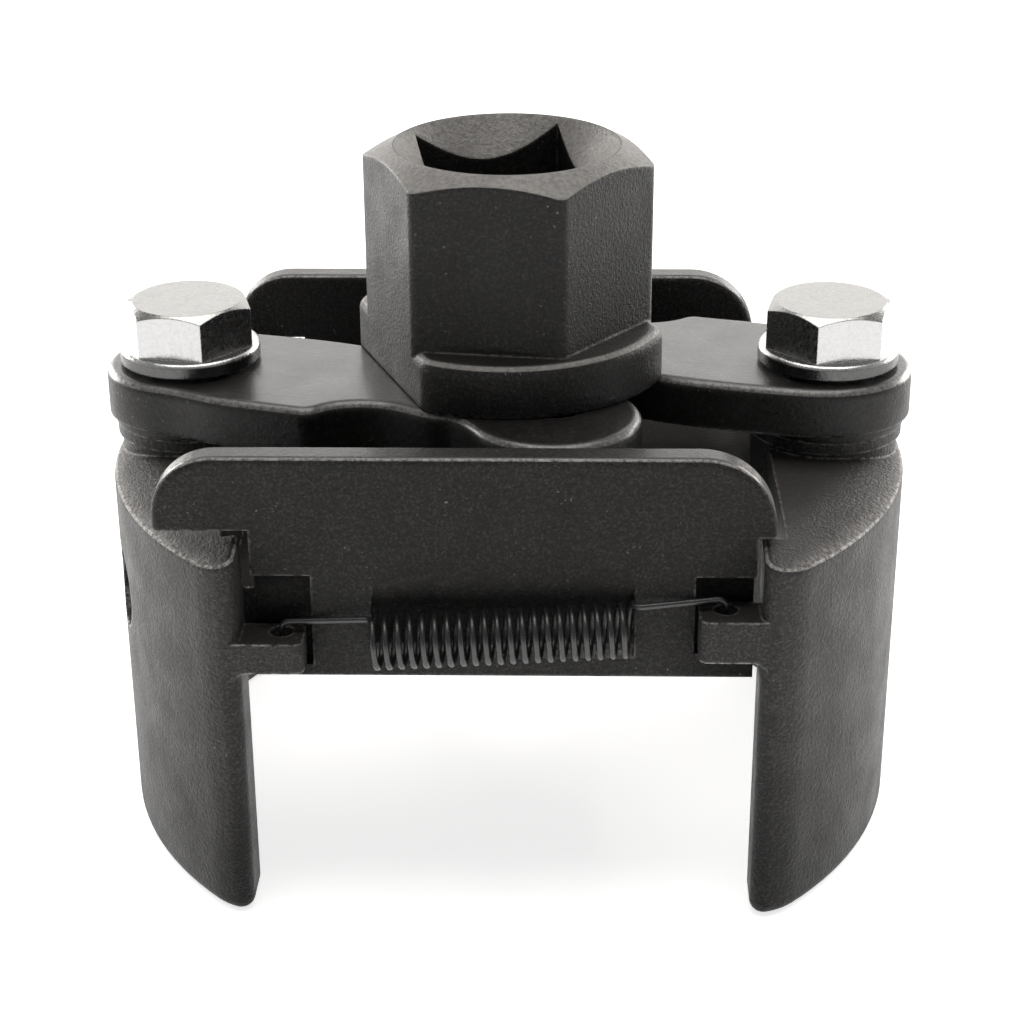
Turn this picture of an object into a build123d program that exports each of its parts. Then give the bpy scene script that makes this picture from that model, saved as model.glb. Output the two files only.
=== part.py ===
from build123d import *
import math
import os

# Two-jaw oil filter wrench, closed. Millimetres, +Z up.
# Origin: on the drive's axis, in the plane that the jaws' feet stand on.
# The left jaw is at -X and the front guide plate at -Y. The two jaws are one casting,
# used twice: the right jaw is the left one turned half a turn about Z. So are the links.

# ---- driving dimensions ----
WALL_OUTER_R = 35.0          # outside of the jaw walls
WALL_INNER_R = 30.2          # gripping face, closed on a 60 mm filter
FACE_Y = 26.3                # the walls' ends turn in towards this
FACE_CORNER_R = 5.5          # bend from the round wall into its end
END_ROUND = 1.2              # upright outer edge of a wall's end
LOW_END_X = 21.4             # where the wall stops on the low lug's side
HIGH_END_X = 20.9            # and on the high lug's side
SHELF_TOP = 34.0             # flat top of the jaw's shelf
SHELF_RIM = 32.5             # the shelf has dropped to this at its outer edge
SHELF_FLAT_R = 29.0          # radius where the drop begins
SHELF_BOTTOM = 29.5
FOOT_ROUND = 1.1
RIM_ROUND = 0.5

FRAME_BOTTOM = 21.9          # lower edge of the guide plates, and the filter's stop
FRAME_TOP = 41.3
LEFT_WING_BOTTOM = 35.0      # the wings pass over the shelves at these heights
RIGHT_WING_BOTTOM = 34.5
PLATE_OUTER_Y = 23.6
PLATE_THICK = 2.8
PLATE_BODY_X = 20.45         # half length of the plate's lower part
FRONT_WINGS = (-28.2, 22.0)  # where the front plate's wings end
BACK_WINGS = (-26.8, 23.4)   # and the back plate's
WING_ROUND_LEFT = 5.2
WING_ROUND_RIGHT = 6.2
FLOOR_THICK = 2.5
FLOOR_HALF_X = 15.6

BOLT_X = 28.1                # pivot bolts, either side of the drive's axis
LINK_BOTTOM = 36.5
LINK_TOP = 40.7
LINK_END_R = 7.4
LINK_LENGTH_TO_LOBE = 34.4   # from the bolt to the lobe's centre, along the link
LOBE_SIDE = -2.3             # how far the lobe's centre lies off the line of bolt and eye
BOLT_R = 3.0                 # M6
BUSH_R = 4.0

CRANK_R = 10.0               # crank pins, from the drive's axis
CRANK_ANGLE = -67.6          # direction of the front pin, in degrees from +X
PIN_R = 3.0
EYE_SLACK = 0.8              # the eye is this much larger than its pin, all round
REST_SWING = 1.1            # the link's rest angle is this much steeper than its pin's place

DRIVE_TOP = 60.3
FLANGE_BOTTOM = 40.8
FLANGE_TOP = 45.2
FLANGE_R = 14.0
HEX_ACROSS_FLATS = 22.0
SOCKET_SIDE = 12.9           # 1/2 inch square drive
SOCKET_DEPTH = 16.0
SOCKET_TURN = 17.0
COUNTERSINK_R = 9.6

SPRING_OUTER_R = 2.35
SPRING_WIRE_R = 0.31
SPRING_Y = 25.0
SPRING_LOW_Z = 25.7          # the coil's axis at the low lug's end
SPRING_HIGH_Z = 26.95        # and at the high lug's end
SPRING_HALF = 10.5

LOW_LUG_TIP_X = 16.2
HIGH_LUG_TIP_X = 15.9
LUG_INNER_Y = 22.2
LUG_OUTER_Y = 25.95
LUG_HOLE_X = 18.1
LUG_HOLE_Y = 23.5
LUG_HOLE_R = 1.0
LOW_LUG = (23.2, 25.9)       # bottom and top of the front lug of the left jaw
HIGH_LUG = (24.4, 28.1)      # bottom and top of its back lug

RUNNING_GAP = 0.08           # sliding clearance between frame and tongues

NEAR = 0.01                  # for picking out edges by where they lie

os.makedirs("parts", exist_ok=True)

# ---- worked out ----
crank_pin_x = CRANK_R * math.cos(math.radians(CRANK_ANGLE))
crank_pin_y = CRANK_R * math.sin(math.radians(CRANK_ANGLE))
link_length = math.hypot(BOLT_X + crank_pin_x, crank_pin_y)
link_angle = math.degrees(math.atan2(crank_pin_y, BOLT_X + crank_pin_x)) - REST_SWING
flat_angle = CRANK_ANGLE + 90.0
plate_inner_y = PLATE_OUTER_Y - PLATE_THICK
eye_r = PIN_R + EYE_SLACK


def save(part, name):
    """Label one finished sub-part and write it as its own STEP file."""
    part.label = name
    export_step(part, f"parts/{name}.step")


def turned(part):
    """The same sub-part for the right side: half a turn about Z."""
    return part.rotate(Axis.Z, 180)


def jaw_corner(end_x):
    """Where the end face, the bend and the round wall begin at one corner of a jaw's plan."""
    inner_r = WALL_OUTER_R - FACE_CORNER_R
    bend_centre = Vector(math.sqrt(inner_r**2 - (FACE_Y - FACE_CORNER_R) ** 2), FACE_Y - FACE_CORNER_R)
    across = end_x + END_ROUND - bend_centre.X
    reach = FACE_CORNER_R - END_ROUND
    end_y = bend_centre.Y + math.sqrt(reach**2 - across**2)
    end_centre = Vector(end_x + END_ROUND, end_y)
    bend_start = bend_centre + (end_centre - bend_centre) * (FACE_CORNER_R / reach)
    wall_start = bend_centre * (WALL_OUTER_R / inner_r)
    return end_y, bend_start, wall_start


# ---- left jaw and right jaw: one casting ----
TONGUE_TIP_X = 12.0
TONGUE_TOP = 28.5
TONGUE_ROOT_TOP = 30.0       # thicker where it runs into the shelf
tongue_bottom = FRAME_BOTTOM + FLOOR_THICK + RUNNING_GAP
tongue_outer_y = plate_inner_y - RUNNING_GAP
BOSS_R = 6.8
BOSS_TOP = 35.6
BOSS_NECK_R = 6.45
BOSS_NECK_TOP = 34.5
SHELF_END_X = 22.9           # the opening in the shelf for the guide frame
SHELF_OPENING_Y = 22.0
INNER_EDGE_ROUND = 0.9
LUG_TIP_ROUND = 0.8
LUG_ROOT_ROUND = 0.9
THREAD_SLACK = 0.02
WALL_HOLE_R = 3.9            # round hollow in the wall
WALL_HOLE_Z = 23.2
WALL_HOLE_DEPTH = 3.3
WALL_HOLE_TURN = 15.3        # its direction, from the jaw's sliding direction

with BuildPart() as left_jaw:
    # outline in plan: round at the side, turned in at the ends
    (low_y, low_bend, low_wall), (high_y, high_bend, high_wall) = (
        jaw_corner(LOW_END_X),
        jaw_corner(HIGH_END_X),
    )
    with BuildSketch():
        with BuildLine():
            Line((-HIGH_END_X, high_y), (-LOW_END_X, -low_y))
            RadiusArc((-LOW_END_X, -low_y), (-low_bend.X, -low_bend.Y), END_ROUND)
            RadiusArc((-low_bend.X, -low_bend.Y), (-low_wall.X, -low_wall.Y), FACE_CORNER_R)
            ThreePointArc(
                (-low_wall.X, -low_wall.Y),
                (-WALL_OUTER_R, 0),
                (-high_wall.X, high_wall.Y),
            )
            RadiusArc((-high_wall.X, high_wall.Y), (-high_bend.X, high_bend.Y), FACE_CORNER_R)
            RadiusArc((-high_bend.X, high_bend.Y), (-HIGH_END_X, high_y), END_ROUND)
        make_face()
    extrude(amount=SHELF_TOP)
    fillet(left_jaw.faces().sort_by(Axis.Z)[0].edges(), FOOT_ROUND)
    # the shelf falls away towards its outer edge
    with BuildSketch(Plane.XZ):
        with BuildLine():
            TangentArc(
                (SHELF_FLAT_R, SHELF_TOP),
                (WALL_OUTER_R, SHELF_RIM),
                tangent=(1, 0),
            )
            Polyline(
                (WALL_OUTER_R, SHELF_RIM),
                (WALL_OUTER_R + 1, SHELF_RIM),
                (WALL_OUTER_R + 1, SHELF_TOP),
                (SHELF_FLAT_R, SHELF_TOP),
            )
        make_face()
    revolve(axis=Axis.Z, mode=Mode.SUBTRACT)
    rim = left_jaw.edges().filter_by(
        lambda edge: SHELF_RIM - NEAR < edge.center().Z < SHELF_TOP - NEAR
        and edge.center().X < -LOW_END_X
    )
    fillet(rim, RIM_ROUND)
    # hollow under the shelf, for the filter
    with BuildSketch():
        Circle(WALL_INNER_R)
    extrude(amount=SHELF_BOTTOM, mode=Mode.SUBTRACT)
    upright = left_jaw.edges().filter_by(Axis.Z)
    fillet(upright.sort_by(lambda edge: abs(edge.center().Y))[0:2], INNER_EDGE_ROUND)
    # open the shelf for the guide frame
    with BuildSketch(Plane.XY.offset(SHELF_BOTTOM)):
        with Locations((-HIGH_END_X, 0)):
            Rectangle(2 * (SHELF_END_X - HIGH_END_X), 2 * SHELF_OPENING_Y)
    extrude(amount=SHELF_TOP - SHELF_BOTTOM, mode=Mode.SUBTRACT)
    # the boss that carries the link, and its thread's length below the shelf
    with BuildSketch(Plane.XY.offset(tongue_bottom)):
        with Locations((-BOLT_X, 0)):
            Circle(BOSS_NECK_R)
    extrude(amount=BOSS_NECK_TOP - tongue_bottom)
    with BuildSketch(Plane.XY.offset(BOSS_NECK_TOP)):
        with Locations((-BOLT_X, 0)):
            Circle(BOSS_R)
    extrude(amount=BOSS_TOP - BOSS_NECK_TOP)
    # the tongue that slides in the front half of the guide frame, thicker under the shelf
    for inner_x, top in ((TONGUE_TIP_X, TONGUE_TOP), (-SHELF_END_X, TONGUE_ROOT_TOP)):
        with BuildSketch(Plane.XY.offset(tongue_bottom)):
            with Locations((-WALL_OUTER_R, -tongue_outer_y)):
                Rectangle(
                    WALL_OUTER_R + inner_x,
                    tongue_outer_y - RUNNING_GAP,
                    align=(Align.MIN, Align.MIN),
                )
            Circle((WALL_INNER_R + WALL_OUTER_R) / 2, mode=Mode.INTERSECT)
        extrude(amount=top - tongue_bottom)
    # one spring lug in front and one behind, each with a hole for the spring's hook
    for side, root_x, tip_x, (low, high) in (
        (-1, LOW_END_X, LOW_LUG_TIP_X, LOW_LUG),
        (1, HIGH_END_X, HIGH_LUG_TIP_X, HIGH_LUG),
    ):
        with BuildSketch(Plane.XY.offset(low)) as lug:
            with BuildLine():
                Polyline(
                    (-root_x - END_ROUND, side * LUG_OUTER_Y),
                    (-tip_x, side * LUG_OUTER_Y),
                    (-tip_x, side * LUG_INNER_Y),
                    (-root_x - END_ROUND, side * LUG_INNER_Y),
                    close=True,
                )
            make_face()
            fillet(lug.vertices().group_by(Axis.X)[-1], LUG_TIP_ROUND)
        extrude(amount=high - low)
        root = left_jaw.edges().filter_by(
            lambda edge: abs(edge.center().Z - low) < NEAR
            and abs(edge.center().X + root_x) < END_ROUND
            and side * edge.center().Y > LUG_INNER_Y
        )
        fillet(root.sort_by(SortBy.LENGTH)[-1], LUG_ROOT_ROUND)
        with Locations((-LUG_HOLE_X, side * LUG_HOLE_Y, high)):
            Hole(LUG_HOLE_R, depth=high - low)
    # threaded hole for the pivot bolt
    with Locations((-BOLT_X, 0, BOSS_TOP)):
        Hole(BOLT_R + THREAD_SLACK, depth=BOSS_TOP - tongue_bottom)
    # round hollow in the outer wall
    hollow = Plane(
        origin=(0, 0, WALL_HOLE_Z),
        x_dir=(0, 0, 1),
        z_dir=(
            -math.cos(math.radians(WALL_HOLE_TURN)),
            -math.sin(math.radians(WALL_HOLE_TURN)),
            0,
        ),
    ).offset(WALL_OUTER_R - WALL_HOLE_DEPTH)
    with BuildSketch(hollow):
        Circle(WALL_HOLE_R)
    extrude(amount=2 * WALL_HOLE_DEPTH, mode=Mode.SUBTRACT)
save(left_jaw.part, "left_jaw")

with BuildPart() as right_jaw:
    add(turned(left_jaw.part))
save(right_jaw.part, "right_jaw")

# ---- guide frame: two plates joined by a floor ----
PLATE_EDGE_ROUND = 0.6
NEST_R = 3.1                 # hollow for the spring, about the spring's axis
NEST_LIP_ROUND = 4.0         # its upper edge eases out to the plate's face
NEST_HALF_X = 10.7
LUG_RECESS_DEPTH = 1.9       # recess behind each lug
LUG_RECESS_TOP = 31.0
LUG_RECESS_DROP = 0.35       # how far it reaches below the lug
LAND_HALF_X = 15.6           # the plate keeps its full thickness between the recesses
BEYOND = 1.0                 # cuts run this far past the surface
nest_z = (SPRING_LOW_Z + SPRING_HIGH_Z) / 2
nest_lip_z = nest_z + math.sqrt(NEST_R**2 - (SPRING_Y - PLATE_OUTER_Y) ** 2)
recess_y = PLATE_OUTER_Y - LUG_RECESS_DEPTH

with BuildPart() as guide_frame:
    for side, (left_tip, right_tip) in ((-1, FRONT_WINGS), (1, BACK_WINGS)):
        with BuildSketch(Plane.XZ.offset(-side * PLATE_OUTER_Y)) as plate:
            with BuildLine():
                Polyline(
                    (left_tip, LEFT_WING_BOTTOM),
                    (left_tip, FRAME_TOP),
                    (right_tip, FRAME_TOP),
                    (right_tip, RIGHT_WING_BOTTOM),
                    (PLATE_BODY_X, RIGHT_WING_BOTTOM),
                    (PLATE_BODY_X, FRAME_BOTTOM),
                    (-PLATE_BODY_X, FRAME_BOTTOM),
                    (-PLATE_BODY_X, LEFT_WING_BOTTOM),
                    close=True,
                )
            make_face()
            for corner, round_r in (
                ((left_tip, FRAME_TOP), WING_ROUND_LEFT),
                ((right_tip, FRAME_TOP), WING_ROUND_RIGHT),
            ):
                fillet(plate.vertices().sort_by_distance(corner)[0], round_r)
        extrude(amount=side * PLATE_THICK)
    outline = guide_frame.edges().filter_by(Axis.Y, reverse=True)
    upper = outline.filter_by(lambda edge: edge.center().Z > LEFT_WING_BOTTOM + NEAR)
    fillet(upper, PLATE_EDGE_ROUND)
    # the floor between the plates
    with BuildSketch(Plane.XY.offset(FRAME_BOTTOM)):
        Rectangle(2 * FLOOR_HALF_X, 2 * plate_inner_y)
    extrude(amount=FLOOR_THICK)
    for side in (-1, 1):
        # a hollow in the plate for the spring to lie in, easing out at its upper edge
        with BuildSketch(Plane.YZ.offset(-NEST_HALF_X)):
            with Locations((side * SPRING_Y, nest_z)):
                Circle(NEST_R)
        extrude(amount=2 * NEST_HALF_X, mode=Mode.SUBTRACT)
        along_x = guide_frame.edges().filter_by(Axis.X)
        fillet(along_x.sort_by_distance((0, side * PLATE_OUTER_Y, nest_lip_z))[0], NEST_LIP_ROUND)
        # recesses behind the lugs, coved at the top
        for end in (-1, 1):
            recess_bottom = (LOW_LUG if side * end > 0 else HIGH_LUG)[0] - LUG_RECESS_DROP
            with BuildSketch(Plane.YZ.offset(end * LAND_HALF_X)):
                with BuildLine():
                    TangentArc(
                        (side * recess_y, LUG_RECESS_TOP - LUG_RECESS_DEPTH),
                        (side * PLATE_OUTER_Y, LUG_RECESS_TOP),
                        tangent=(0, 1),
                    )
                    Polyline(
                        (side * PLATE_OUTER_Y, LUG_RECESS_TOP),
                        (side * (PLATE_OUTER_Y + BEYOND), LUG_RECESS_TOP),
                        (side * (PLATE_OUTER_Y + BEYOND), recess_bottom),
                        (side * recess_y, recess_bottom),
                        (side * recess_y, LUG_RECESS_TOP - LUG_RECESS_DEPTH),
                    )
                make_face()
            extrude(amount=end * (PLATE_BODY_X - LAND_HALF_X + BEYOND), mode=Mode.SUBTRACT)
save(guide_frame.part, "guide_frame")

# ---- links ----
LINK_TOP_ROUND = 0.9
BUSH_SLACK = 0.05
with BuildPart() as left_link:
    along = Plane(
        origin=(-BOLT_X, 0, LINK_BOTTOM),
        x_dir=(math.cos(math.radians(link_angle)), math.sin(math.radians(link_angle)), 0),
        z_dir=(0, 0, 1),
    )
    lobe = (LINK_LENGTH_TO_LOBE, LOBE_SIDE)
    half_turn = math.sqrt(0.5) * LINK_END_R
    with BuildSketch(along):
        with BuildLine():
            front = Spline(
                (0, -LINK_END_R),
                (5.3, -8.1),
                (13.6, -8.2),
                tangents=((1, 0), (1, 0)),
            )
            shoulder = TangentArc(front @ 1, (15.2, -7.3), tangent=(1, 0))
            waist = Spline(
                shoulder @ 1,
                (17.2, -5.5),
                (20.2, -4.8),
                (24.6, -5.6),
                (lobe[0] - half_turn, lobe[1] - half_turn),
                tangents=(shoulder % 1, (1, -1)),
            )
            around_lobe = ThreePointArc(
                waist @ 1,
                (lobe[0] + half_turn, lobe[1] - half_turn),
                (lobe[0], lobe[1] + LINK_END_R),
            )
            back = Spline(
                around_lobe @ 1,
                (28, 5.6),
                (20, 7.2),
                (12.5, 8.4),
                (4, 8.3),
                (-half_turn, half_turn),
                tangents=((-1, 0), (-1, -1)),
            )
            ThreePointArc(back @ 1, (-half_turn, -half_turn), (0, -LINK_END_R))
        make_face()
    extrude(amount=LINK_TOP - LINK_BOTTOM)
    fillet(left_link.faces().sort_by(Axis.Z)[-1].edges(), LINK_TOP_ROUND)
    with BuildSketch(along):
        Circle(BUSH_R + BUSH_SLACK)
        with Locations((link_length, 0)):
            Circle(eye_r)
    extrude(amount=LINK_TOP - LINK_BOTTOM, mode=Mode.SUBTRACT)
save(left_link.part, "left_link")

with BuildPart() as right_link:
    add(turned(left_link.part))
save(right_link.part, "right_link")

# ---- drive ----
TOP_CHAMFER_R = 9.75
CHAMFER_RISE = math.tan(math.radians(28))
CHAMFER_REACH = 4.0          # the chamfer's cut runs this far outwards
HEX_CORNER_ROUND = 1.0
FLANGE_CORNER_ROUND = 2.0
FLANGE_EDGE_ROUND = 1.0
socket_floor = DRIVE_TOP - SOCKET_DEPTH
PIN_SEAT_TOP = 43.4
DETENT_R = 2.2
DETENT_DEPTH = 0.9
DETENT_BELOW_TOP = 8.0

with BuildPart() as drive_body:
    # flange: round, with two flats in line with two faces of the hexagon
    with BuildSketch(Plane.XY.offset(FLANGE_BOTTOM)) as flange:
        Circle(FLANGE_R)
        Rectangle(HEX_ACROSS_FLATS, 3 * FLANGE_R, rotation=flat_angle, mode=Mode.INTERSECT)
        fillet(flange.vertices(), FLANGE_CORNER_ROUND)
    extrude(amount=FLANGE_TOP - FLANGE_BOTTOM)
    fillet(drive_body.faces().sort_by(Axis.Z)[-1].edges(), FLANGE_EDGE_ROUND)
    # hexagon
    with BuildSketch(Plane.XY.offset(FLANGE_BOTTOM)) as hexagon:
        RegularPolygon(
            HEX_ACROSS_FLATS / 2,
            6,
            major_radius=False,
            rotation=flat_angle + 30,
        )
        fillet(hexagon.vertices(), HEX_CORNER_ROUND)
    extrude(amount=DRIVE_TOP - FLANGE_BOTTOM)
    # turned chamfer round the top
    with BuildSketch(Plane.XZ):
        with BuildLine():
            Polyline(
                (TOP_CHAMFER_R, DRIVE_TOP),
                (TOP_CHAMFER_R + CHAMFER_REACH, DRIVE_TOP),
                (TOP_CHAMFER_R + CHAMFER_REACH, DRIVE_TOP - CHAMFER_REACH * CHAMFER_RISE),
                close=True,
            )
        make_face()
    revolve(axis=Axis.Z, mode=Mode.SUBTRACT)
    # square socket with its countersink and the dents for the driver's ball
    with BuildSketch(Plane.XY.offset(socket_floor)):
        Rectangle(SOCKET_SIDE, SOCKET_SIDE, rotation=SOCKET_TURN)
    extrude(amount=SOCKET_DEPTH, mode=Mode.SUBTRACT)
    with BuildSketch(Plane.XZ):
        with BuildLine():
            Polyline(
                (0, DRIVE_TOP),
                (COUNTERSINK_R, DRIVE_TOP),
                (0, DRIVE_TOP - COUNTERSINK_R),
                close=True,
            )
        make_face()
    revolve(axis=Axis.Z, mode=Mode.SUBTRACT)
    for quarter in range(4):
        facing = math.radians(SOCKET_TURN + 90 * quarter)
        wall = Plane(
            origin=(0, 0, DRIVE_TOP - DETENT_BELOW_TOP),
            z_dir=(math.cos(facing), math.sin(facing), 0),
        )
        with BuildSketch(wall):
            Circle(DETENT_R)
        extrude(amount=SOCKET_SIDE / 2 + DETENT_DEPTH, mode=Mode.SUBTRACT)
    # seats for the crank pins
    with BuildSketch(Plane.XY.offset(FLANGE_BOTTOM)):
        with PolarLocations(CRANK_R, 2, start_angle=CRANK_ANGLE):
            Circle(PIN_R)
    extrude(amount=PIN_SEAT_TOP - FLANGE_BOTTOM, mode=Mode.SUBTRACT)
save(drive_body.part, "drive_body")

# ---- crank pins, with rivet heads, and their washers ----
PIN_HEAD_R = 4.4
PIN_HEAD_BOTTOM = 34.2
PIN_WASHER = (35.7, 36.4)
PIN_WASHER_R = 5.6
PIN_HEAD_ROUND = 1.0
PIN_END_GAP = 0.2
with BuildPart() as left_crank_pin:
    with BuildSketch(Plane.XY.offset(PIN_HEAD_BOTTOM)):
        with Locations((crank_pin_x, crank_pin_y)):
            Circle(PIN_HEAD_R)
    extrude(amount=PIN_WASHER[0] - PIN_HEAD_BOTTOM)
    fillet(left_crank_pin.faces().sort_by(Axis.Z)[0].edges(), PIN_HEAD_ROUND)
    with BuildSketch(Plane.XY.offset(PIN_WASHER[0])):
        with Locations((crank_pin_x, crank_pin_y)):
            Circle(PIN_R)
    extrude(amount=PIN_SEAT_TOP - PIN_END_GAP - PIN_WASHER[0])
save(left_crank_pin.part, "left_crank_pin")
save(turned(left_crank_pin.part), "right_crank_pin")

with BuildPart() as left_pin_washer:
    with BuildSketch(Plane.XY.offset(PIN_WASHER[0])):
        with Locations((crank_pin_x, crank_pin_y)):
            Circle(PIN_WASHER_R)
            Circle(PIN_R, mode=Mode.SUBTRACT)
    extrude(amount=PIN_WASHER[1] - PIN_WASHER[0])
save(left_pin_washer.part, "left_pin_washer")
save(turned(left_pin_washer.part), "right_pin_washer")

# ---- pivots: thrust washer, bush, washer and bolt on each boss ----
THRUST_WASHER_TOP = 36.45
THRUST_WASHER_R = 6.9
BUSH_TOP = 41.1
WASHER_R = 6.15
WASHER_THICK = 1.25
WASHER_ROUND = 0.4
WASHER_SLACK = 0.2           # bolt_washer's hole, round the bolt
THRUST_WASHER_SLACK = 0.1
BUSH_BORE_SLACK = 0.05
HEAD_HEIGHT = 4.0
HEAD_ACROSS_FLATS = 10.0
HEAD_CHAMFER_R = 4.75
HEAD_CHAMFER_RISE = math.tan(math.radians(30))
HEAD_CHAMFER_REACH = 2.0
BOLT_TIP = 26.4
BOLT_TIP_CHAMFER = 0.6
BOLT_TURNS = {"left": -71.0, "right": -106.0}
head_bottom = BUSH_TOP + WASHER_THICK
head_top = head_bottom + HEAD_HEIGHT

for name, x in (("left", -BOLT_X), ("right", BOLT_X)):
    with BuildPart() as thrust_washer:
        with BuildSketch(Plane.XY.offset(BOSS_TOP)):
            with Locations((x, 0)):
                Circle(THRUST_WASHER_R)
                Circle(BOLT_R + THRUST_WASHER_SLACK, mode=Mode.SUBTRACT)
        extrude(amount=THRUST_WASHER_TOP - BOSS_TOP)
    save(thrust_washer.part, f"{name}_thrust_washer")

    with BuildPart() as bush:
        with BuildSketch(Plane.XY.offset(THRUST_WASHER_TOP)):
            with Locations((x, 0)):
                Circle(BUSH_R)
                Circle(BOLT_R + BUSH_BORE_SLACK, mode=Mode.SUBTRACT)
        extrude(amount=BUSH_TOP - THRUST_WASHER_TOP)
    save(bush.part, f"{name}_pivot_bush")

    with BuildPart() as washer:
        with BuildSketch(Plane.XY.offset(BUSH_TOP)):
            with Locations((x, 0)):
                Circle(WASHER_R)
                Circle(BOLT_R + WASHER_SLACK, mode=Mode.SUBTRACT)
        extrude(amount=WASHER_THICK)
        fillet(washer.faces().sort_by(Axis.Z)[-1].outer_wire().edges(), WASHER_ROUND)
    save(washer.part, f"{name}_bolt_washer")

    with BuildPart() as bolt:
        with BuildSketch(Plane.XY.offset(head_bottom)):
            with Locations((x, 0)):
                RegularPolygon(
                    HEAD_ACROSS_FLATS / 2,
                    6,
                    major_radius=False,
                    rotation=BOLT_TURNS[name],
                )
        extrude(amount=HEAD_HEIGHT)
        with BuildSketch(Plane.XZ.shift_origin((x, 0, 0))):
            with BuildLine():
                Polyline(
                    (HEAD_CHAMFER_R, head_top),
                    (HEAD_CHAMFER_R + HEAD_CHAMFER_REACH, head_top),
                    (
                        HEAD_CHAMFER_R + HEAD_CHAMFER_REACH,
                        head_top - HEAD_CHAMFER_REACH * HEAD_CHAMFER_RISE,
                    ),
                    close=True,
                )
            make_face()
        revolve(axis=Axis((x, 0, 0), (0, 0, 1)), mode=Mode.SUBTRACT)
        with BuildSketch(Plane.XY.offset(BOLT_TIP)):
            with Locations((x, 0)):
                Circle(BOLT_R)
        extrude(amount=head_bottom - BOLT_TIP)
        chamfer(bolt.faces().sort_by(Axis.Z)[0].edges(), BOLT_TIP_CHAMFER)
    save(bolt.part, f"{name}_pivot_bolt")

# ---- springs ----
HOOK_DROP = 1.6              # how far a hook reaches below its lug's top
HOOK_BEND = 0.7
HOOK_RISE = 0.9              # and how far its bend stands above it
LEAD_OVERLAP = 0.6           # how far the end wire runs along the coil
with BuildPart() as front_spring:
    low_end = Vector(-SPRING_HALF, -SPRING_Y, SPRING_LOW_Z)
    high_end = Vector(SPRING_HALF, -SPRING_Y, SPRING_HIGH_Z)
    coil = Plane(origin=low_end, z_dir=high_end - low_end, x_dir=(0, 1, 0))
    with BuildSketch(coil):
        Circle(SPRING_OUTER_R)
        Circle(SPRING_OUTER_R - 2 * SPRING_WIRE_R, mode=Mode.SUBTRACT)
    extrude(amount=(high_end - low_end).length)
    # a straight end wire runs from the top of the coil and hooks down into each lug's hole
    for end, z_end, lug in ((-1, SPRING_LOW_Z, LOW_LUG), (1, SPRING_HIGH_Z, HIGH_LUG)):
        with BuildLine() as hook:
            FilletPolyline(
                (end * (SPRING_HALF - LEAD_OVERLAP), -SPRING_Y, z_end + SPRING_OUTER_R - SPRING_WIRE_R),
                (end * LUG_HOLE_X, -LUG_HOLE_Y, lug[1] + HOOK_RISE),
                (end * LUG_HOLE_X, -LUG_HOLE_Y, lug[1] - HOOK_DROP),
                radius=HOOK_BEND,
            )
        with BuildSketch(Plane(origin=hook.line @ 0, z_dir=hook.line % 0)):
            Circle(SPRING_WIRE_R)
        sweep(path=hook.line)
save(front_spring.part, "front_spring")
save(turned(front_spring.part), "back_spring")
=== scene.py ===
import math

import bmesh
import bpy
from mathutils import Matrix, Vector


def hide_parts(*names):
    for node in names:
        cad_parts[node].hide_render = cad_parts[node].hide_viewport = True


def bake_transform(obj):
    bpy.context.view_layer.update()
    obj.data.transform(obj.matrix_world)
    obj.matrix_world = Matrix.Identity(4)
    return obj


MM = 0.001

CAMERA_PLACE = Vector((4.50, -187.31, 112.46)) * MM
CAMERA_TURN = math.radians(-1.3)
CAMERA_DOWN = math.radians(24.81)
CAMERA_ROLL = math.radians(-0.31)
CAMERA_LENS = 79.67
SENSOR_WIDTH = 36.0
NEAREST = 0.01
FARTHEST = 20.0


def make_camera():
    """The camera, from its place and its turn, tilt and roll."""
    data = bpy.data.cameras.new("camera")
    data.lens = CAMERA_LENS
    data.sensor_width = SENSOR_WIDTH
    data.clip_start = NEAREST
    data.clip_end = FARTHEST
    camera = bpy.data.objects.new("camera", data)
    bpy.context.scene.collection.objects.link(camera)
    ahead = Vector((
        math.sin(CAMERA_TURN) * math.cos(CAMERA_DOWN),
        math.cos(CAMERA_TURN) * math.cos(CAMERA_DOWN),
        -math.sin(CAMERA_DOWN),
    ))
    right = Vector((math.cos(CAMERA_TURN), -math.sin(CAMERA_TURN), 0))
    up = right.cross(ahead)
    rolled_right = math.cos(CAMERA_ROLL) * right + math.sin(CAMERA_ROLL) * up
    rolled_up = -math.sin(CAMERA_ROLL) * right + math.cos(CAMERA_ROLL) * up
    axes = Matrix((rolled_right, rolled_up, -ahead)).transposed()
    camera.matrix_world = Matrix.Translation(CAMERA_PLACE) @ axes.to_4x4()
    bpy.context.scene.camera = camera


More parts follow.
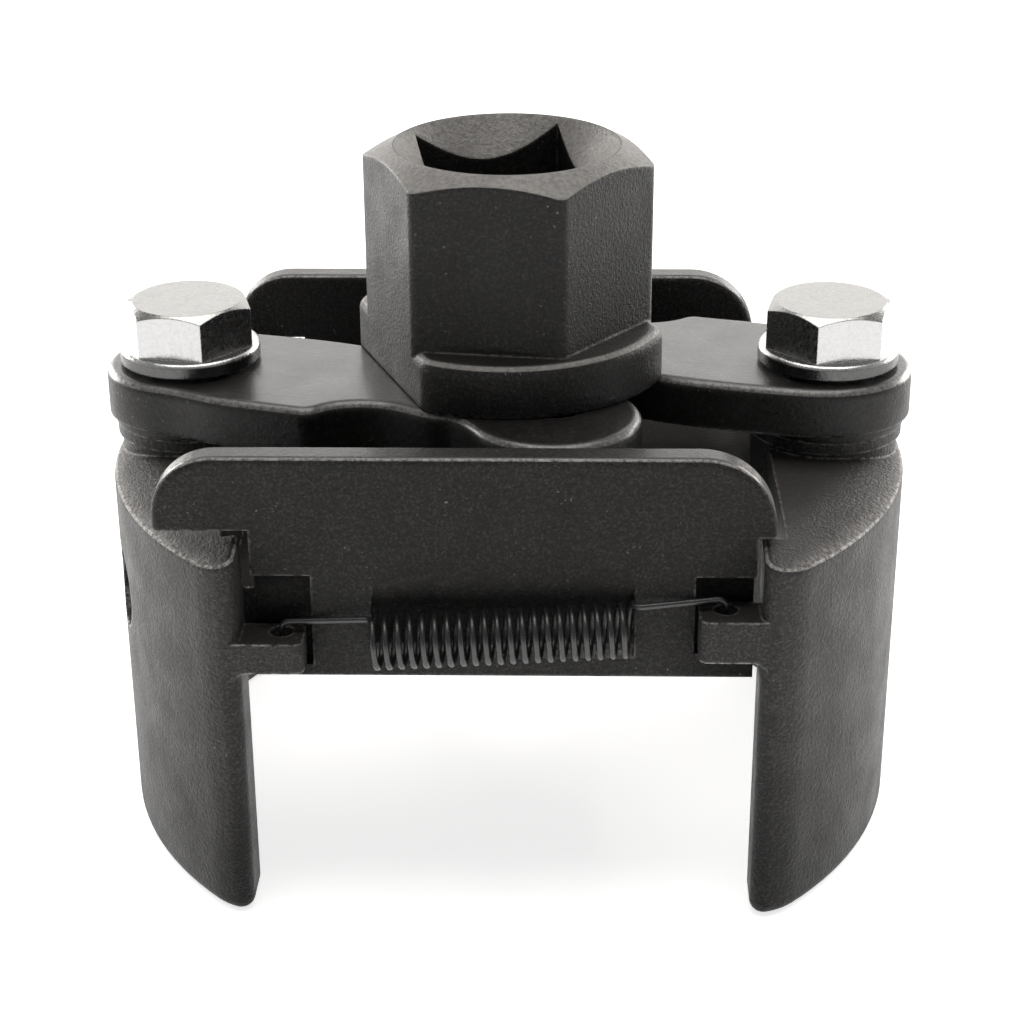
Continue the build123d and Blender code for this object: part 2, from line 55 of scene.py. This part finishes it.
make_camera()
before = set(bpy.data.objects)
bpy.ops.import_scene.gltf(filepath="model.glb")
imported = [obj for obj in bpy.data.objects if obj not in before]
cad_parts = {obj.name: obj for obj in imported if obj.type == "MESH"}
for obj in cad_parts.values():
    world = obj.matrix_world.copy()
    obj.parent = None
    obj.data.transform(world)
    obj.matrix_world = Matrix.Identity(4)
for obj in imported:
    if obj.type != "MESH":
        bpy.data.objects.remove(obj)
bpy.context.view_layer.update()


# ---- materials ----
class Shader:
    """A small helper that adds nodes and links to one material."""

    def __init__(self, name):
        self.material = bpy.data.materials.new(name)
        self.material.use_nodes = True
        self.tree = self.material.node_tree
        self.tree.nodes.clear()
        self.out = self.add("ShaderNodeOutputMaterial")
        self.main = self.add("ShaderNodeBsdfPrincipled")
        self.join(self.main.outputs[0], self.out.inputs["Surface"])
        self.place = self.add("ShaderNodeTexCoord").outputs["Object"]

    def add(self, kind):
        """A new node."""
        return self.tree.nodes.new(kind)

    def join(self, a, b):
        """A link from an output to an input."""
        self.tree.links.new(a, b)

    def put(self, socket, value):
        """A number, colour or another node's output, into a socket."""
        if hasattr(value, "links"):
            self.join(value, socket)
        else:
            socket.default_value = value

    def stretched(self, scale):
        """Object coordinates, scaled along each axis."""
        node = self.add("ShaderNodeMapping")
        node.inputs["Scale"].default_value = scale
        self.join(self.place, node.inputs["Vector"])
        return node.outputs["Vector"]

    def noise(self, size_mm, detail=3.0, rough=0.5, vector=None):
        """Noise from 0 to 1, whose features are about size_mm across."""
        node = self.add("ShaderNodeTexNoise")
        self.join(vector or self.place, node.inputs["Vector"])
        node.inputs["Scale"].default_value = 1 / (size_mm * MM)
        node.inputs["Detail"].default_value = detail
        node.inputs["Roughness"].default_value = rough
        return node.outputs[0]

    def part_of(self, vector, axis):
        """One of a vector's three parts."""
        node = self.add("ShaderNodeSeparateXYZ")
        self.join(vector, node.inputs["Vector"])
        return node.outputs[axis]

    def upward(self):
        """The surface's own direction against the vertical: 0 on a wall, 1 on a top."""
        return self.part_of(self.add("ShaderNodeNewGeometry").outputs["Normal"], "Z")

    def step(self, value, low, high, to_low=0.0, to_high=1.0, smooth=True):
        """value taken from low..high to to_low..to_high, held at both ends."""
        node = self.add("ShaderNodeMapRange")
        node.interpolation_type = "SMOOTHSTEP" if smooth else "LINEAR"
        self.put(node.inputs["Value"], value)
        node.inputs["From Min"].default_value = low
        node.inputs["From Max"].default_value = high
        node.inputs["To Min"].default_value = to_low
        node.inputs["To Max"].default_value = to_high
        return node.outputs["Result"]

    def sums(self, operation, a, b=0.0):
        """Arithmetic on two values."""
        node = self.add("ShaderNodeMath")
        node.operation = operation
        self.put(node.inputs[0], a)
        self.put(node.inputs[1], b)
        return node.outputs[0]

    def times(self, a, b):
        """One value times another."""
        return self.sums("MULTIPLY", a, b)

    def mix(self, share, a, b):
        """Colour a at share 0, colour b at share 1."""
        node = self.add("ShaderNodeMix")
        node.data_type = "RGBA"
        self.put(node.inputs["Factor"], share)
        self.put(node.inputs["A"], a)
        self.put(node.inputs["B"], b)
        return node.outputs["Result"]

    def rounded(self, radius_mm, samples=6):
        """The surface's direction, with its edges rounded off."""
        node = self.add("ShaderNodeBevel")
        node.samples = samples
        node.inputs["Radius"].default_value = radius_mm * MM
        return node.outputs["Normal"]

    def edges(self, radius_mm, samples=6):
        """0 on open surface, rising to about 0.3 at a sharp edge."""
        soft = self.rounded(radius_mm, samples)
        true = self.add("ShaderNodeNewGeometry").outputs["True Normal"]
        node = self.add("ShaderNodeVectorMath")
        node.operation = "DOT_PRODUCT"
        self.join(soft, node.inputs[0])
        self.join(true, node.inputs[1])
        return self.sums("SUBTRACT", 1.0, node.outputs["Value"])

    def bump(self, height, depth_mm, normal=None):
        """A relief of depth_mm from a height of 0 to 1."""
        node = self.add("ShaderNodeBump")
        node.inputs["Strength"].default_value = 1.0
        node.inputs["Distance"].default_value = depth_mm * MM
        self.join(height, node.inputs["Height"])
        if normal is not None:
            self.join(normal, node.inputs["Normal"])
        return node.outputs["Normal"]


def grey(value, red=1.0, blue=1.0):
    """A near-neutral colour."""
    return (value * red, value, value * blue, 1.0)


# the black coating's marks, painted glints and highlight streaks among them: how large each is,
# in millimetres
PATCH_MM = 4.0
PORE_MM = 0.13
CHIP_MM = 0.8
STREAK_MM = 0.4
SPECK_MM = 0.34
SPECKLED_AREA_MM = 6.0
MOTTLE_MM = 0.26

# and between which values of their noise they fade in
CHIP_BAND = (0.38, 0.60)
STREAK_BAND = (0.34, 0.62)
SPECK_BAND = (0.66, 0.74)
SPECKLED_AREA_BAND = (0.44, 0.66)
MOTTLE_BAND = (0.48, 0.64)
GRAIN_TOP_BAND = (0.45, 0.75)
PATCH_BAND = (0.3, 0.7)

# an edge's mask, from first showing to bare metal
EDGE_BAND = (0.04, 0.22)

# bare metal for worn edges, and also the colour of the painted highlights on up-facing crests
BARE_METAL_AND_HIGHLIGHT = grey(0.44, 1.03, 0.95)
# the grey of the painted glints on the grain
PAINTED_GLINT_GREY = grey(0.28, 1.05, 0.93)
DUSTY_BLACK = grey(0.045, 1.08, 0.93)


def worn_edges(s, edge_mm, worn):
    """Wear along sharp edges, broken up by chips of coating that still hold."""
    chips = s.step(s.noise(CHIP_MM, 5.0, 0.7), *CHIP_BAND)
    return s.times(s.step(s.edges(edge_mm), *EDGE_BAND, 0.0, worn), chips)


def painted_crest_highlights(s, up, band, crest, crest_break):
    """Painted highlight on rounded edges whose surface faces upward by an amount within band, in
    streaks of bare-metal grey.
    """
    low, high = band
    rounding = s.sums("SUBTRACT", s.step(up, low, low + 0.1), s.step(up, high, high + 0.08))
    rounding = s.times(s.sums("MAXIMUM", rounding, 0.0), crest)
    streaks = s.step(s.noise(STREAK_MM, 5.0, 0.7), *STREAK_BAND, crest_break, 1.0)
    return s.times(rounding, streaks)


def coat_colour(s, dark, grain, patches, top, flecks):
    """The coating's colour: patches, dusty mottle, paler tops as painted light from above, paler
    grain, and bright specks as painted glints.
    """
    colour = s.mix(patches, grey(dark * 0.5, 1.08, 0.98), grey(dark * 1.5, 1.10, 0.94))
    mottle = s.step(s.noise(MOTTLE_MM, 3.0, 0.7), *MOTTLE_BAND)
    colour = s.mix(s.times(mottle, flecks), colour, DUSTY_BLACK)
    # painted light: surfaces facing up are made paler, as if lit from above
    colour = s.mix(top, colour, grey(dark * 3.0, 1.15, 0.92))
    grain_tops = s.times(s.step(grain, *GRAIN_TOP_BAND), 0.5)
    colour = s.mix(grain_tops, colour, grey(dark * 3.2, 1.10, 0.93))
    # small bright specks on the grain's tops, painted glints, gathered in patches
    specks = s.step(s.noise(SPECK_MM, 3.0, 0.6), *SPECK_BAND)
    area = s.step(s.noise(SPECKLED_AREA_MM, 2.0, 0.5), *SPECKLED_AREA_BAND)
    return s.mix(s.times(s.times(specks, area), 0.7), colour, PAINTED_GLINT_GREY)


def black_coat(
    name,
    dark,
    grain_mm,
    grain_depth_mm,
    rough,
    edge_mm=0.45,
    gloss=0.5,
    worn=1.0,
    crest=0.6,
    crest_band=(0.58, 0.84),
    crest_break=0.15,
    polish=0.0,
    polish_from=0.8,
    sheen=0.0,
    painted_top_light=1.0,
    flecks=0.8,
    shade=None,
):
    """Black coating over metal, with grain in relief, worn edges, painted highlights on up-facing
    crests, painted light on tops, and painted shade from an optional shade mask.
    """
    s = Shader(name)
    up = s.upward()
    top = s.step(up, polish_from, min(polish_from + 0.3, 0.96))
    grain = s.noise(grain_mm, 4.0, 0.6)
    patches = s.noise(PATCH_MM, 4.0, 0.6)
    pores = s.noise(PORE_MM, 2.0, 0.5)
    wear_and_highlight = worn_edges(s, edge_mm, worn)
    # painted highlights on the up-facing crests join the real edge wear in one mask
    wear_and_highlight = s.sums("MAXIMUM", wear_and_highlight, painted_crest_highlights(s, up, crest_band, crest, crest_break))
    metal = s.times(wear_and_highlight, 0.5)
    # tops made paler by the given share, as painted light from above
    colour = coat_colour(s, dark, grain, patches, s.times(top, painted_top_light), flecks)
    # painted shade: where shade falls the coating is made darker and duller, and its wear and
    # highlights fade
    if shade:
        painted_shade = shade(s)
        wear_and_highlight = s.times(wear_and_highlight, s.sums("SUBTRACT", 1.0, painted_shade))
        metal = s.sums("MAXIMUM", metal, painted_shade)
        colour = s.mix(painted_shade, colour, grey(dark * 0.8))
    s.put(s.main.inputs["Base Color"], s.mix(wear_and_highlight, colour, BARE_METAL_AND_HIGHLIGHT))
    s.put(s.main.inputs["Metallic"], metal)
    roughness = s.step(patches, *PATCH_BAND, rough - 0.08, rough + 0.10, smooth=False)
    roughness = s.sums("ADD", roughness, s.times(s.sums("SUBTRACT", pores, 0.5), 0.3))
    s.put(s.main.inputs["Roughness"], s.sums("SUBTRACT", roughness, s.times(wear_and_highlight, 0.08)))
    s.main.inputs["Specular IOR Level"].default_value = gloss
    if polish:
        s.put(s.main.inputs["Coat Weight"], s.times(top, polish))
        s.main.inputs["Coat Roughness"].default_value = 0.25
    if sheen:
        s.main.inputs["Sheen Weight"].default_value = sheen
        s.main.inputs["Sheen Roughness"].default_value = 0.4
    relief = s.sums("ADD", s.times(grain, 0.7), s.times(pores, 0.3))
    s.put(s.main.inputs["Normal"], s.bump(relief, grain_depth_mm, s.rounded(edge_mm)))
    return s.material


def bright_plate(name, base, rough, painted_side_grey, edge_mm=0.15):
    """Zinc plate: faintly crystalline, drawn over with fine marks, with its sides painted a grey
    of their own as painted light and shade.
    """
    s = Shader(name)
    patches = s.noise(1.6, 3.0, 0.6)
    marks = s.noise(0.35, 5.0, 0.65)
    top = s.step(s.upward(), 0.1, 0.5)
    colour = s.mix(patches, grey(base * 0.84), grey(base, 1.0, 0.96))
    # painted light and shade: surfaces facing sideways get their own grey, not the tops' colour
    s.put(s.main.inputs["Base Color"], s.mix(top, grey(painted_side_grey), colour))
    s.main.inputs["Metallic"].default_value = 1.0
    roughness = s.step(marks, *PATCH_BAND, rough - 0.06, rough + 0.12, smooth=False)
    s.put(s.main.inputs["Roughness"], roughness)
    relief = s.sums("ADD", s.times(marks, 0.6), patches)
    s.put(s.main.inputs["Normal"], s.bump(relief, 0.03, s.rounded(edge_mm)))
    return s.material


def oiled_steel(name, base, rough):
    """Dark ground steel."""
    s = Shader(name)
    turned = s.noise(0.25, 4.0, 0.6, s.stretched((0.2, 0.2, 2.0)))
    s.put(s.main.inputs["Base Color"], s.mix(turned, grey(base * 0.7), grey(base * 1.2)))
    s.main.inputs["Metallic"].default_value = 1.0
    roughness = s.step(turned, *PATCH_BAND, rough - 0.05, rough + 0.1, smooth=False)
    s.put(s.main.inputs["Roughness"], roughness)
    s.put(s.main.inputs["Normal"], s.bump(turned, 0.01, s.rounded(0.1)))
    return s.material


def black_wire(name):
    """Black spring wire, glossy with fine drawing marks."""
    s = Shader(name)
    marks = s.noise(0.12, 3.0, 0.6)
    patches = s.noise(1.5, 2.0, 0.5)
    s.put(s.main.inputs["Base Color"], s.mix(patches, grey(0.006), grey(0.02)))
    s.main.inputs["Metallic"].default_value = 0.0
    s.main.inputs["Specular IOR Level"].default_value = 0.7
    roughness = s.step(marks, *PATCH_BAND, 0.22, 0.4, smooth=False)
    s.put(s.main.inputs["Roughness"], roughness)
    s.put(s.main.inputs["Normal"], s.bump(marks, 0.012))
    return s.material


# heights above the feet between which the jaws' painted shade, darkest at the feet, fades out
FOOT_SHADE_LOW = 1.0 * MM
FOOT_SHADE_HIGH = 26.0 * MM
# and, for the painted shade in the recesses round the lugs, distances to the side and heights
RECESS_SHADE_INNER_X = 12.0 * MM
RECESS_SHADE_OUTER_X = 20.0 * MM
RECESS_SHADE_LOW = 26.0 * MM
RECESS_SHADE_HIGH = 36.0 * MM
RECESS_SHADE = 0.6


def painted_foot_shade(s):
    """Painted shade on the jaws, darkest at their feet and streaky: 0 none, 1 black."""
    streaky = s.sums("ADD", s.times(s.noise(6.0), 0.3), 0.35)
    return s.times(s.step(s.part_of(s.place, "Z"), FOOT_SHADE_LOW, FOOT_SHADE_HIGH, 1.0, 0.0), streaky)


def painted_recess_shade(s):
    """Painted shade in the guide plates' recesses behind the lugs, and up round them: 0 none, 1
    black.
    """
    side = s.step(s.sums("ABSOLUTE", s.part_of(s.place, "X")), RECESS_SHADE_INNER_X, RECESS_SHADE_OUTER_X)
    height = s.step(s.part_of(s.place, "Z"), RECESS_SHADE_LOW, RECESS_SHADE_HIGH, 1.0, 0.0)
    return s.times(s.times(side, height), RECESS_SHADE)


CAST = black_coat(
    "cast_black_look", dark=0.006, grain_mm=0.36, grain_depth_mm=0.26, rough=0.47,
    gloss=0.33, crest=0.66, crest_band=(0.5, 0.86), crest_break=0.05, sheen=0.05,
    shade=painted_foot_shade,
)
PLATE = black_coat(
    "plate_black_look", dark=0.005, grain_mm=0.42, grain_depth_mm=0.24, rough=0.46,
    gloss=0.23, worn=0.45, crest=0.5, polish=0.7, polish_from=0.5, painted_top_light=0.4, flecks=0.5,
    shade=painted_recess_shade,
)
FORGED = black_coat(
    "forged_black_look", dark=0.005, grain_mm=0.45, grain_depth_mm=0.10, rough=0.42,
    gloss=0.3, worn=0.3, crest=0.30, crest_band=(0.42, 0.84), crest_break=0.25,
    polish=0.9, polish_from=0.25, painted_top_light=0.0, flecks=0.25,
)
DRIVE = black_coat(
    "drive_black_look", dark=0.005, grain_mm=0.32, grain_depth_mm=0.12, rough=0.40,
    gloss=0.25, worn=0.3, crest=0.42, crest_band=(0.60, 0.90), crest_break=0.6,
    polish=0.3, flecks=0.4,
)
# the sides' grey is painted light and shade: paler on the bolt heads, dark on the washers' rims
ZINC = bright_plate("zinc_look", base=0.38, rough=0.24, painted_side_grey=0.50)
WASHER_ZINC = bright_plate("washer_look", base=0.66, rough=0.26, painted_side_grey=0.10)
PIN = oiled_steel("pin_look", base=0.3, rough=0.3)
WIRE = black_wire("wire_look")

LOOKS = {
    "guide_frame": PLATE,
    "drive_body": DRIVE,
}
PAIRED_LOOKS = {
    "jaw": CAST,
    "link": FORGED,
    "thrust_washer": FORGED,
    "pivot_bolt": ZINC,
    "bolt_washer": WASHER_ZINC,
    "pivot_bush": PIN,
    "crank_pin": PIN,
    "pin_washer": PIN,
}
for kind, look in PAIRED_LOOKS.items():
    LOOKS[f"left_{kind}"] = look
    LOOKS[f"right_{kind}"] = look

for node, look in LOOKS.items():
    for material_slot in bpy.data.objects[node].material_slots:
        material_slot.material = look


# ---- springs: real coils, each in two halves, one named for each jaw ----
# in millimetres, on the front spring, whose axis rises a little to the right
SPRING_Y = -25.0
LEFT_END_Z = 25.7
RIGHT_END_Z = 26.95
COIL_HALF = 10.5
COIL_R = 2.07
WIRE_R = 0.27
TURNS = 21
LUG_HOLE_X = 18.1
LUG_HOLE_Y = -23.5
LEFT_LUG_TOP = 25.9
RIGHT_LUG_TOP = 28.1
HOOK_RISE = 0.9
HOOK_DROP = 2.5
BEND_R = 0.7
WIRE_SIDES = 10
STEPS_A_TURN = 28
STEPS_A_BEND = 6


def quarter(centre, first, last):
    """A quarter circle about centre, from centre + first to centre + last."""
    turns = [math.pi / 2 * k / STEPS_A_BEND for k in range(STEPS_A_BEND + 1)]
    return [centre + math.cos(t) * first + math.sin(t) * last for t in turns]


def spring_end(side, coil_z, lug_top):
    """Points from a hook's tip to the coil, at the left end (side -1) or the right (side 1)."""
    inward = Vector((-side * BEND_R, 0, 0))
    forward = Vector((0, side * BEND_R, 0))
    upward = Vector((0, 0, BEND_R))
    # up out of the lug's hole, then toward the coil's top, and round into its first turn
    corner = Vector((side * LUG_HOLE_X, LUG_HOLE_Y, lug_top + HOOK_RISE))
    coil_top = Vector((side * COIL_HALF, SPRING_Y, coil_z + COIL_R))
    points = [corner + Vector((0, 0, -HOOK_DROP))]
    points += quarter(corner + inward - upward, -inward, upward)
    points += quarter(coil_top - inward + forward, -forward, inward)
    return points


def spring_path():
    """Points along one whole spring: hook, lead, coil, lead, hook."""
    path = spring_end(-1, LEFT_END_Z, LEFT_LUG_TOP)
    bent = math.asin(BEND_R / COIL_R)
    count = TURNS * STEPS_A_TURN
    for k in range(1, count):
        share = k / count
        angle = bent + (2 * math.pi * TURNS - 2 * bent) * share
        x = COIL_HALF * (2 * share - 1)
        y = SPRING_Y - COIL_R * math.sin(angle)
        centre_z = LEFT_END_Z + (RIGHT_END_Z - LEFT_END_Z) * share
        path.append(Vector((x, y, centre_z + COIL_R * math.cos(angle))))
    path += reversed(spring_end(1, RIGHT_END_Z, RIGHT_LUG_TOP))
    return path


def swept(name, path, radius, material):
    """A round wire along a path, closed at both ends."""
    mesh = bpy.data.meshes.new(name)
    work = bmesh.new()
    rings = []
    across = (path[1] - path[0]).orthogonal().normalized()
    for k, point in enumerate(path):
        ahead = (path[min(k + 1, len(path) - 1)] - path[max(k - 1, 0)]).normalized()
        across = (across - ahead * across.dot(ahead)).normalized()
        other = ahead.cross(across)
        ring = []
        for side in range(WIRE_SIDES):
            angle = 2 * math.pi * side / WIRE_SIDES
            offset = radius * (math.cos(angle) * across + math.sin(angle) * other)
            ring.append(work.verts.new((point + offset) * MM))
        rings.append(ring)
    for a, b in zip(rings, rings[1:]):
        for side in range(WIRE_SIDES):
            after = (side + 1) % WIRE_SIDES
            work.faces.new((a[side], a[after], b[after], b[side]))
    work.faces.new(tuple(reversed(rings[0])))
    work.faces.new(tuple(rings[-1]))
    for face in work.faces:
        face.smooth = len(face.verts) == 4
    work.to_mesh(mesh)
    work.free()
    piece = bpy.data.objects.new(name, mesh)
    bpy.context.scene.collection.objects.link(piece)
    mesh.materials.append(material)
    return piece


def half_turned(point):
    """The same point on the other spring."""
    return Vector((-point.x, -point.y, point.z))


front_path = spring_path()
back_path = [half_turned(point) for point in front_path]
middle = len(front_path) // 2
# the back spring's path starts at the right, since it is the front one turned half a turn
for side, path, jaws in (
    ("front", front_path, ("left", "right")),
    ("back", back_path, ("right", "left")),
):
    for points, jaw in zip((path[: middle + 1], path[middle:]), jaws):
        coil = swept(f"{side}_coil_{jaw}_half", points, WIRE_R, WIRE)
        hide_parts(f"{side}_spring")
        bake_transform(coil)


# ---- floor and light, in metres ----
FLOOR_HALF = 3.0
FLOOR_Z = -0.0001
FLOOR_GLOW = 0.7
WORLD_GLOW = 0.28
WHITE = (1, 1, 1, 1)
LIGHT_COLOUR = (1.0, 0.97, 0.94)
LIGHT_AIM = Vector((0, 0, 0.035))


def paper():
    """Plain pale paper."""
    s = Shader("floor_look")
    s.put(s.main.inputs["Base Color"], s.mix(s.noise(60.0), grey(0.90), grey(0.94)))
    s.main.inputs["Roughness"].default_value = 0.9
    s.main.inputs["Specular IOR Level"].default_value = 0.1
    s.main.inputs["Emission Color"].default_value = WHITE
    s.main.inputs["Emission Strength"].default_value = FLOOR_GLOW
    return s.material


def make_floor():
    """A flat square just under the feet."""
    mesh = bpy.data.meshes.new("floor")
    corners = [(-1, -1), (1, -1), (1, 1), (-1, 1)]
    points = [(x * FLOOR_HALF, y * FLOOR_HALF, FLOOR_Z) for x, y in corners]
    mesh.from_pydata(points, [], [(0, 1, 2, 3)])
    mesh.materials.append(paper())
    plane = bpy.data.objects.new("floor", mesh)
    bpy.context.scene.collection.objects.link(plane)


def soft_light(name, place, size, power):
    """A rectangular softbox at place, facing the object."""
    data = bpy.data.lights.new(name, "AREA")
    data.shape = "RECTANGLE"
    data.size, data.size_y = size
    data.energy = power
    data.color = LIGHT_COLOUR
    light = bpy.data.objects.new(name, data)
    light.location = place
    light.rotation_euler = (LIGHT_AIM - Vector(place)).to_track_quat("-Z", "Y").to_euler()
    light.visible_camera = False
    bpy.context.scene.collection.objects.link(light)


make_floor()
soft_light("back_box", (0.0, 1.0, 0.50), size=(1.7, 0.8), power=6.5)
soft_light("top_box", (0.0, 0.05, 0.95), size=(0.8, 0.8), power=6.5)
soft_light("left_box", (-0.80, 0.65, 0.22), size=(0.6, 0.5), power=9.0)
soft_light("right_box", (0.80, 0.65, 0.22), size=(0.6, 0.5), power=8.5)

world = bpy.data.worlds.new("studio")
world.use_nodes = True
background = world.node_tree.nodes["Background"]
background.inputs["Color"].default_value = WHITE
background.inputs["Strength"].default_value = WORLD_GLOW
bpy.context.scene.world = world
bpy.context.scene.view_settings.view_transform = "Standard"
